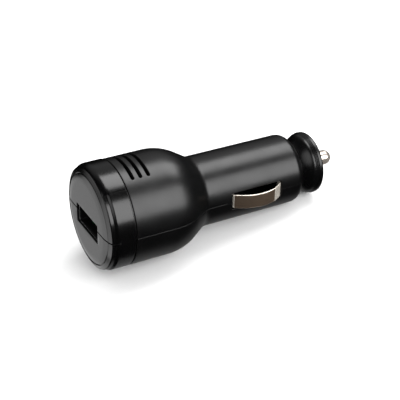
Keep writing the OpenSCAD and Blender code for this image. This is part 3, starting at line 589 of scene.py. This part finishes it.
def slotCutter(name, side):
    middle, half = (slots["fromZ"] + slots["toZ"]) / 2, (slots["toZ"] - slots["fromZ"]) / 2
    radius = (housing["barrelR"] + housing["barrelEndR"]) / 2
    return lippedCutter(name, roundedBox(slots["halfW"], half, slots["corner"]),
                        lambda u, v, down: (side * (math.sqrt(radius ** 2 - u * u) - down), u, middle + v),
                        slots["lip"], slots["depth"])


def ventCutters():
    outline, steps, straight = [], 12, vents["halfLen"] - vents["halfW"]
    for quarter, side in enumerate((1, -1)):
        for i in range(steps + 1):
            a = math.radians(-90 + 180 * quarter + 180 * i / steps)
            away = (math.cos(a), math.sin(a))
            outline.append(((side * straight + vents["halfW"] * away[0], vents["halfW"] * away[1]), away))
        v = vents["halfW"] * side  # the long sides need points too, to follow the round head
        outline += [((side * straight * (1 - 2 * i / 24), v), away) for i in range(1, 24)]
    one = lippedCutter("ventCutter", outline,
                       lambda u, v, down: (u, down - math.sqrt(housing["headR"] ** 2 - u * u), v),
                       vents["lip"], vents["depth"])
    return rowOf("ventCutters", one, vents["count"], (0, 0, vents["firstZ"]), (0, 0, vents["pitch"]), "insideWall")


cutters = [portCutter(), slotCutter("rightSlot", 1), slotCutter("leftSlot", -1), ventCutters()]
upperShell = cutOut(halfShell("upperShell", -1), cutters)
lowerShell = cutOut(halfShell("lowerShell", 1), cutters[:3])
remove(cutters)
report("housing")


# Nose cap and centre pin

capLow, capHigh = boxMm("nose_cap")
pinHigh = boxMm("centre_pin")[1]
cap = {
    "lowZ": capLow.z, "frontZ": capHigh.z, "flangeR": capHigh.x + 0.28, "neckR": 6.4, "shankR": 6.15,
    "flare": [(0, 0.7), (0.08, 1.0), (0.28, 1.4), (0.6, 1.85), (1.0, 2.35), (1.45, 2.85), (1.85, 3.3),
              (2.15, 3.65), (2.38, 3.98), (2.5, 4.3), (2.56, 4.55)],  # out from the neck, up from the barrel
    "ridges": 3, "ridgeGap": 0.04, "ridgeW": 0.44, "ridgeRise": 0.23, "ridgeDrop": 0.13,
    "ridgeSteps": (0.28, 0.32, 0.40), "frontSet": 0.85, "frontRound": 0.7,
    "dish": [(6.9, 0), (6.85, 0.05), (6.8, 0.3), (4.75, 0.3), (4.65, 0.05), (4.55, 0)],  # radius and depth
    "holeMouth": 0.25, "holeEdge": 0.2,
}
pin = {"r": 2.25, "tipZ": pinHigh.z, "flangeR": pinHigh.x, "flangeZ": 68.6, "stopZ": 70.0, "cupR": 2.7,
       "cupLen": 1.4, "edge": 0.1, "play": 0.06, "travel": 2.5}


def noseCap():
    c = cap
    z, front, play = housing["endZ"], c["frontZ"], pin["play"]
    inside = [(pin["flangeR"] + play, pin["stopZ"]), (pin["flangeR"] + play, c["lowZ"])]
    shank = [(c["shankR"], c["lowZ"]), (c["shankR"], z), (c["neckR"], z)]
    flare = [(c["neckR"] + out, z + up) for out, up in c["flare"]]
    slopeEnd, crestStart, dropEnd = c["ridgeSteps"]
    ridges = []
    for i in range(c["ridges"]):
        foot = flare[-1][0] + i * (c["ridgeRise"] - c["ridgeDrop"])
        low, crest = flare[-1][1] + c["ridgeGap"] + i * c["ridgeW"], foot + c["ridgeRise"]
        ridges += [(foot + 0.01, low), (crest - 0.01, low + slopeEnd), (crest, low + crestStart),
                   (crest - c["ridgeDrop"], low + dropEnd)]
    frontRound = arc(c["flangeR"] - c["frontSet"], front - c["frontRound"], c["frontRound"], 90, 180, 8)
    dish = [(r, front - deep) for r, deep in c["dish"]]
    hole = [(pin["r"] + c["holeMouth"], front), (pin["r"] + play, front - c["holeEdge"]),
            (pin["r"] + play, pin["stopZ"])]
    return turned("noseCap", inside + shank + flare + ridges + frontRound + dish + hole, "capGloss")


def centrePin():
    p = pin
    tip = arc(0, p["tipZ"] - p["r"], p["r"], 90, 180, 14)
    cupZ, edge = p["flangeZ"] - p["cupLen"], p["edge"]
    body = [(p["cupR"], cupZ), (p["flangeR"] - edge, cupZ), (p["flangeR"], cupZ + edge),
            (p["flangeR"], p["stopZ"] - edge), (p["flangeR"] - edge, p["stopZ"]), (p["r"], p["stopZ"])]
    profile = [(0, p["flangeZ"]), (p["cupR"], p["flangeZ"])] + body + run(body[-1], tip[0], 8)[:-1] + tip[:-1]
    return turned("centrePin", profile + [(0, p["tipZ"])], "pinNickel", 96)


noseCapPiece = noseCap()
centrePinPiece = centrePin()
report("nose")


# Side contacts: a bowed spring strip, swept along its own path

strip = {"width": 4.4, "thick": 0.4, "edge": 0.19, "tabX": 8.0, "tabLen": 2.0, "legZ": 41.5, "startX": 10.2,
         "cornerX": 12.0, "cornerZ": 54.3, "rise": 1.6, "endX": 10.2, "endZ": 57.1, "bend": 0.5}


def stripPath():
    s = strip
    start, corner = Vector((s["startX"], s["legZ"] + 0.3)), Vector((s["cornerX"], s["cornerZ"]))
    chord = (corner - start).length
    along = (corner - start) / chord
    out = Vector((along.y, -along.x))
    radius = (chord * chord / 4 + s["rise"] ** 2) / (2 * s["rise"])
    middle = (start + corner) / 2 - out * (radius - s["rise"])
    half = math.asin(chord / 2 / radius)
    bow = [middle + radius * (out * math.cos(t) + along * math.sin(t))
           for t in [half * (i / 20 - 1) for i in range(41)]]
    points = [Vector((s["tabX"], s["legZ"] - s["tabLen"])), Vector((s["tabX"], s["legZ"])),
              Vector((s["startX"] - 0.35, s["legZ"]))] + bow
    return points + [Vector((s["endX"], s["endZ"])), Vector((s["tabX"], s["endZ"] + 0.2)),
                     Vector((s["tabX"], s["endZ"] + s["tabLen"]))]


def bentPath(points, bend):  # rounds each sharp corner of a path
    path = [points[0]]
    for before, here, after in zip(points, points[1:], points[2:]):
        a, b = (before - here).normalized(), (after - here).normalized()
        if a.dot(b) < -0.96:
            path.append(here)
            continue
        reach = min(bend, (before - here).length * 0.45, (after - here).length * 0.45)
        for i in range(5):
            t = i / 4
            path.append((here + a * reach) * (1 - t) ** 2 + here * 2 * t * (1 - t) + (here + b * reach) * t * t)
    return path + [points[-1]]


def sideContact(name, side):
    path = [(side * p.x, 0, p.y) for p in bentPath(stripPath(), strip["bend"])]
    piece = alongPath(name, stripAlongPath, path, {
        "Width": strip["width"] * mm, "Thickness": strip["thick"] * mm, "Edge round": strip["edge"] * mm,
        "Across": (0, 1, 0), "Finish": finishes["stripBrown"]})
    piece.data.materials.append(finishes["stripRubbed"])
    # paler metal on the rounded edges, the far corner bend and the root bend: painted highlight
    for face in piece.data.polygons:
        z = face.center.z / mm
        highlit = abs(face.normal.y) > 0.3 or z > strip["cornerZ"] - 0.15 or z < strip["legZ"] + 0.1
        face.material_index = 1 if highlit else 0
    return piece


rightContact = sideContact("rightContact", 1)
leftContact = sideContact("leftContact", -1)
report("side contacts")


# USB port: folded steel shell with spring fingers, tongue and four blades

usb = {"setBack": 0.05, "halfH": 2.85, "sheet": 0.3, "corner": 0.7,
       "windowX": 3.1, "windowZ": 5.7, "windowHalfW": 0.95, "windowHalfLen": 2.6,
       "fingerW": 1.3, "fingerFoot": 0.9, "fingerDip": 0.62, "fingerTurn": 0.75, "fingerBack": 1.4,
       "legZs": (5.7, 11.9), "legW": 1.6, "legY": 3.55, "legLen": 2.4,
       "tongueW": 11.1, "tongueT": 1.84, "tongueY": -0.65, "tongueZ": 2.3,
       "blockHalfW": 6.2, "blockHalfH": 2.45, "blockZ": 11.1, "blockEnd": 14.15,
       "bladeW": 1.0, "bladeT": 0.25, "bladePitch": 2.3, "bladeZ": 3.0, "bladeLen": 10.8,
       "crestZ": 3.3, "crestRise": 0.2, "grooveHalfH": 0.5, "grooveLen": 7.7}


def shellBox():
    halfW, front = (portHigh.x - portLow.x) / 2, portLow.z + usb["setBack"]
    outside = [(0.03, front), (0.0, front + 0.03), (0.0, portHigh.z - 0.3), (0.3, portHigh.z)]
    inside = [(usb["sheet"], portHigh.z - 0.3), (usb["sheet"], front + 0.05), (usb["sheet"] - 0.03, front)]
    outline, points, faces = roundedBox(halfW, usb["halfH"], usb["corner"]), [], []
    count, total = len(outline), len(outside) + len(inside)
    for inset, z in outside + inside:
        points += [(u - nu * inset, port["y"] + v - nv * inset, z) for (u, v), (nu, nv) in outline]
    for i in range(total):
        if i == len(outside) - 1:
            continue
        n = (i + 1) % total
        for k in range(count):
            m = (k + 1) % count
            faces.append((i * count + k, i * count + m, n * count + m, n * count + k))
    faces.append(tuple((len(outside) - 1) * count + k for k in range(count)))
    faces.append(tuple(len(outside) * count + k for k in reversed(range(count))))
    last = len(faces) - 1

    def pick(index, centre):
        # the inner walls and the inner back end take the darker steel: painted shade inside the port
        return 1 if index == last or 3 <= index // count <= 4 and index < last - 1 else 0

    return makePiece("shellBox", points, faces, ["shellSteel", "shellInside"], 35, pick)


def springFinger(side, wall):
    u = usb
    y = port["y"] + wall * (u["halfH"] - u["sheet"] / 2)
    rear, front = u["windowZ"] + u["windowHalfLen"] + 0.5, u["windowZ"] - u["windowHalfLen"] + 0.45
    x, footZ, turn = side * u["windowX"], rear - u["fingerFoot"], u["fingerTurn"]
    path = [(x, y, rear), (x, y, footZ)]
    for i in range(1, 9):
        t = i / 8
        dip = math.sin(math.pi / 2 * min(t / turn, 1)) ** 2 - u["fingerBack"] * max(t - turn, 0)
        path.append((x, y - wall * u["fingerDip"] * dip, footZ + (front - footZ) * t))
    return alongPath("springFinger", stripAlongPath, path, {
        "Width": u["fingerW"] * mm, "Thickness": (u["sheet"] - 0.04) * mm, "Edge round": 0.06 * mm,
        "Across": (1, 0, 0), "Finish": finishes["shellSteel"]})


def usbShell():
    u = usb
    windows = [lippedCutter("fingerWindow", roundedBox(u["windowHalfW"], u["windowHalfLen"], 0.3, 3),
                            lambda a, b, down, side=side: (side * u["windowX"] + a, port["y"] - u["halfH"] + down,
                                                           u["windowZ"] + b), 0.04, 2 * u["halfH"] + 0.8, 2)
               for side in (-1, 1)]
    shell = cutOut(shellBox(), windows)
    remove(windows)
    fingers = [springFinger(side, wall) for side in (-1, 1) for wall in (-1, 1)]
    legX = portHigh.x - u["sheet"] / 2
    legs = [extruded("shellLeg", roundedBox(u["legW"] / 2, u["sheet"] / 2, 0.04, 2),
                     lambda a, b, down, side=side, z=z: (side * (legX + b), u["legY"] + down, z + a),
                     [(0, 0), (u["legLen"] - 0.5, 0), (u["legLen"], -0.12)], "shellSteel")
            for side in (-1, 1) for z in u["legZs"]]
    return joined("usbShell", [shell] + fingers + legs, 35)


def fourAcross(name, piece, finish):
    pitch = usb["bladePitch"]
    return rowOf(name, piece, 4, (-1.5 * pitch, 0, 0), (pitch, 0, 0), finish)


def usbTongue():
    u = usb
    middleY, topY = u["tongueY"] + u["tongueT"] / 2, u["tongueY"] + u["tongueT"]
    blockLen = u["blockEnd"] - u["blockZ"]
    tongue = extruded("tongue", roundedBox(u["tongueW"] / 2, u["tongueT"] / 2, 0.2, 4),
                      lambda a, b, down: (a, middleY + b, u["tongueZ"] + down),
                      [(0, -0.28), (0.12, -0.16), (0.55, 0), (u["blockZ"] - u["tongueZ"] + 0.4, 0)], "tongueBlack")
    block = extruded("block", roundedBox(u["blockHalfW"], u["blockHalfH"], 0.5, 4),
                     lambda a, b, down: (a, port["y"] + b, u["blockZ"] + down),
                     [(0, -0.1), (0.1, 0), (blockLen - 0.1, 0), (blockLen, -0.1)], "tongueBlack")
    groove = extruded("groove", roundedBox(u["bladeW"] / 2 + 0.05, u["grooveHalfH"], 0.05, 2),
                      lambda a, b, down: (a, topY + 0.25 + b, u["bladeZ"] - 0.1 + down),
                      [(0, 0), (u["grooveLen"], 0)])
    grooves = fourAcross("grooves", groove, "tongueBlack")
    cutOut(tongue, [grooves])
    remove([grooves])
    return joined("usbTongue", [tongue, block])


def usbBlades():
    u = usb
    side = [(0, 0.02), (0.06, 0), (u["bladeLen"], 0), (u["bladeLen"], u["bladeT"])]
    side += [(u["crestZ"] - 0.3 * i, u["bladeT"] + u["crestRise"] * math.sin(math.pi * i / 8) ** 1.5)
             for i in range(9)]
    side += [(0.06, u["bladeT"]), (0, u["bladeT"] - 0.08)]
    blade = extruded("blade", [(point, (0, 0)) for point in side],
                     lambda a, b, down: (down, u["tongueY"] + u["tongueT"] - u["bladeT"] + b, u["bladeZ"] + a),
                     [(-u["bladeW"] / 2, 0), (u["bladeW"] / 2, 0)], "bladeGold")
    return fourAcross("usbBlades", blade, "bladeGold")


usbShellPiece, usbTonguePiece, usbBladesPiece = usbShell(), usbTongue(), usbBlades()
report("usb port")


# Wound pieces: the contact spring with closed ends, and the coil with its copper layer

springLow, springHigh = boxMm("contact_spring")
coilLow, coilHigh = boxMm("coil_winding")
spring = {"radius": 2.05, "wire": 0.5, "turns": 6, "low": springLow.z, "high": springHigh.z}
coil = {"radius": 3.15, "wire": 0.69, "turns": 7, "coreR": 1.85, "z": (coilLow.z + coilHigh.z) / 2,
        "low": coilLow.y, "high": coilHigh.y}


def springPath():
    s = spring
    openTurns, wire = s["turns"] - 2, s["wire"]
    rise = s["high"] - s["low"] - wire
    steps, path = s["turns"] * 20, []
    for i in range(steps + 1):
        turn = i / 20
        closed = min(turn, 1) + max(turn - s["turns"] + 1, 0)
        z = wire * closed + min(max(turn - 1, 0), openTurns) * (rise - 2 * wire) / openTurns
        a = 2 * math.pi * turn
        path.append((s["radius"] * math.cos(a), s["radius"] * math.sin(a), s["low"] + wire / 2 + z))
    return path


def contactSpring():
    return alongPath("contactSpring", wireAlongPath, springPath(), {
        "Radius": spring["wire"] / 2 * mm, "Sides": 10, "Finish": finishes["springWire"]}, 60)


def coilWinding():
    c = coil
    low, high, steps = c["low"] + c["wire"] / 2, c["high"] - c["wire"] / 2, c["turns"] * 28
    path = []
    for i in range(steps + 1):
        a = 2 * math.pi * i / 28
        path.append((c["radius"] * math.cos(a), low + (high - low) * i / steps,
                     c["z"] + c["radius"] * math.sin(a)))
    wire = alongPath("wire", wireAlongPath, path, {"Radius": c["wire"] / 2 * mm, "Sides": 8,
                                                   "Finish": finishes["coilCopper"]}, 60)
    low, high = c["low"] + 0.05, c["high"] - 0.05
    layer = turned("layer", [(c["coreR"], low), (c["radius"], low), (c["radius"], high), (c["coreR"], high)],
                   "coilCopper", 48)
    layer.data.transform(Matrix.Translation((0, 0, c["z"] * mm)) @ Matrix.Rotation(-math.pi / 2, 4, "X"))
    return joined("coilWinding", [wire, layer], 60)


contactSpringPiece, coilWindingPiece = contactSpring(), coilWinding()
report("wound pieces")


# Carried-over nodes get their finishes

keptNodes = {
    "fuse_front_cap": "fuseCap", "fuse_rear_cap": "fuseCap", "fuse_glass": "fuseGlass", "fuse_wire": "fuseWire",
    "spring_seat": "seatTin", "circuit_board": "boardGreen", "input_capacitor": "inputCan",
    "output_capacitor": "outputCan", "capacitor_leads": "solderTin", "coil_former": "ferrite",
    "converter_chip": "chipBlack", "chip_legs": "solderTin", "diode": "chipBlack", "diode_tabs": "solderTin",
    "chip_resistors": "resistorDark", "right_ground_lead": "leadJacket", "left_ground_lead": "leadJacket",
}
for nodeName, finish in keptNodes.items():
    for materialSlot in cad[nodeName].material_slots:
        materialSlot.material = finishes[finish]
report("inner parts")


# Bodies, and the replaced nodes are hidden

for piece, body, slot, nodes in [
        (upperShell, "housing", "housing_black", ["upper_shell"]),
        (lowerShell, "housing", "housing_black", ["lower_shell"]),
        (noseCapPiece, "housing", "cap_black", ["nose_cap"]),
        (centrePinPiece, "tip", "nickel", ["centre_pin"]),
        (rightContact, "right_contact", "spring_strip", ["right_side_contact"]),
        (leftContact, "left_contact", "spring_strip", ["left_side_contact"]),
        (usbShellPiece, "housing", "steel_shell", ["usb_shell"]),
        (usbTonguePiece, "housing", "black_insulator", ["usb_insulator"]),
        (usbBladesPiece, "housing", "gold", ["usb_contacts"]),
        (coilWindingPiece, "housing", "copper", ["coil_winding"]),
        (contactSpringPiece, "housing", "spring_wire", ["contact_spring"])]:
    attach(piece, body)
    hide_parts(*nodes)
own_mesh(contactSpringPiece)


# Camera: found from the photograph's outlines, in mm in the frame of the part

camera = {"place": (273.05, -189.51, -114.78), "aim": (-0.10, 3.66, 36.10), "up": (-0.4714, -0.8501, 0.2350),
          "lens": 112.5, "sensor": 36}


def makeCamera():
    back = (Vector(camera["place"]) - Vector(camera["aim"])).normalized()
    right = Vector(camera["up"]).cross(back).normalized()
    up = back.cross(right)
    data = bpy.data.cameras.new("camera")
    data.lens = camera["lens"]
    data.sensor_width = camera["sensor"]
    data.clip_start = 0.01
    data.clip_end = 20
    eye = bpy.data.objects.new("camera", data)
    scene.collection.objects.link(eye)
    turn = Matrix((right, up, back)).transposed().to_4x4()
    eye.matrix_world = Matrix.Translation(Vector(camera["place"]) * mm) @ turn
    scene.camera = eye


makeCamera()


# Stage: the plug lies on a pale table, which is the plane beside the head, and stands on a second one in other views

def stagePlane(name, corners, paper):
    mesh = bpy.data.meshes.new(name)
    mesh.from_pydata([Vector(c) * mm for c in corners], [], [(0, 1, 2, 3)])
    plane = bpy.data.objects.new(name, mesh)
    scene.collection.objects.link(plane)
    material, tree, shader = newMaterial(name + "Paper", (paper, paper, paper), 0.9)
    grain = noise(tree, 1.5, detail=4)
    paler = paper + 0.015
    tree.links.new(blendColours(tree, spread(tree, grain, 0, 1), (paper, paper, paper), (paler, paler, paler)),
                   shader.inputs["Base Color"])
    back = node(tree, "ShaderNodeNewGeometry").outputs["Backfacing"]
    clear = node(tree, "ShaderNodeBsdfTransparent").outputs[0]
    both = node(tree, "ShaderNodeMixShader", {0: back, 1: shader.outputs[0], 2: clear})
    tree.links.new(both.outputs[0], tree.nodes["Material Output"].inputs["Surface"])
    mesh.materials.append(material)
    plane.visible_glossy = False
    return plane


stage = {"restHead": (15.42, 22.6), "restCap": (9.44, 72), "floorZ": -0.02, "reach": 1500,
         "tablePaper": 0.80, "floorPaper": 0.90}
reach, floorZ = stage["reach"], stage["floorZ"]
(headY, headZ), (capY, capZ) = stage["restHead"], stage["restCap"]
tableSlope = (capY - headY) / (capZ - headZ)


def onTable(z):
    return headY + tableSlope * (z - headZ)


table = stagePlane("table", [(-reach, onTable(-reach), -reach), (reach, onTable(-reach), -reach),
                             (reach, onTable(reach), reach), (-reach, onTable(reach), reach)], stage["tablePaper"])
floor = stagePlane("floor", [(-reach, -reach, floorZ), (reach, -reach, floorZ),
                             (reach, onTable(0), floorZ), (-reach, onTable(0), floorZ)], stage["floorPaper"])
floor.visible_shadow = False
floor.visible_diffuse = False


# Light: two long soft boxes over the table and a dim room around them

lamps = {
    "overBox": {"aim": (-0.168, -0.89, 0.36), "far": 600, "wide": 355, "long": 560, "glow": 5.3},
    "sideBox": {"aim": (0.78, -0.49, 0.33), "far": 600, "wide": 460, "long": 640, "glow": 4.9},
}


def softBox(name, lamp):
    data = bpy.data.lights.new(name, "AREA")
    data.shape = "RECTANGLE"
    data.size = lamp["wide"] * mm
    data.size_y = lamp["long"] * mm
    data.energy = math.pi * lamp["glow"] * data.size * data.size_y
    box = bpy.data.objects.new(name, data)
    scene.collection.objects.link(box)
    back = Vector(lamp["aim"]).normalized()
    right = Vector((0, 0, 1)).cross(back).normalized()
    turn = Matrix((right, back.cross(right), back)).transposed().to_4x4()
    box.matrix_world = Matrix.Translation(Vector((0, 0, 40 * mm)) + back * lamp["far"] * mm) @ turn


for lampName, lamp in lamps.items():
    softBox(lampName, lamp)

room = {
    "base": 0.008, "forTable": 1.1,
    "glows": [  # direction, degrees of the full glow, degrees where it ends, strength
        ((-0.72, 0.62, -0.31), 15, 30, 0.86),
        ((-0.56, 0.38, -0.735), 14, 28, 1.3),
        ((0.30, -0.42, -0.85), 12, 28, 1.6),
        ((-0.22, 0.45, -0.865), 20.5, 27, 1.8),
        ((-0.35, 0.83, 0.43), 20, 36, 0.25),
        ((-0.60, -0.75, 0.28), 15, 45, 0.34),
    ],
    "shade": ((-0.938, -0.313, -0.147), 41.2, 46.4, 1.0),  # dims the first glow
}


def lobe(tree, direction, aim, full, end, strength):
    along = node(tree, "ShaderNodeVectorMath", {0: direction, 1: Vector(aim).normalized()}, operation="DOT_PRODUCT")
    patch = node(tree, "ShaderNodeMapRange", {
        "Value": along.outputs["Value"], "From Min": math.cos(math.radians(end)),
        "From Max": math.cos(math.radians(full)), "To Min": 0.0, "To Max": strength}, interpolation_type="SMOOTHSTEP")
    return patch.outputs[0]


def makeRoom():
    world = bpy.data.worlds.new("room")
    scene.world = world
    world.use_nodes = True
    tree = world.node_tree
    tree.nodes.clear()
    direction = node(tree, "ShaderNodeTexCoord").outputs["Generated"]
    shade = lobe(tree, direction, *room["shade"])
    total = room["base"]
    for glow in room["glows"]:
        patch = lobe(tree, direction, *glow)
        if glow is room["glows"][0]:
            left = node(tree, "ShaderNodeMath", {0: 1.0, 1: shade}, operation="SUBTRACT").outputs[0]
            patch = node(tree, "ShaderNodeMath", {0: patch, 1: left}, operation="MULTIPLY").outputs[0]
        total = node(tree, "ShaderNodeMath", {0: patch, 1: total}, operation="MAXIMUM").outputs[0]
    ray = node(tree, "ShaderNodeLightPath").outputs
    strength = node(tree, "ShaderNodeMix", {0: ray["Is Diffuse Ray"], 2: total, 3: room["forTable"]}).outputs[0]
    strength = node(tree, "ShaderNodeMix", {0: ray["Is Camera Ray"], 2: strength, 3: 1.0}).outputs[0]
    back = node(tree, "ShaderNodeBackground", {"Color": (1, 1, 1, 1), "Strength": strength})
    node(tree, "ShaderNodeOutputWorld", {"Surface": back.outputs[0]})


makeRoom()
scene.view_settings.view_transform = "Standard"
scene.view_settings.look = "None"
report("stage and light")
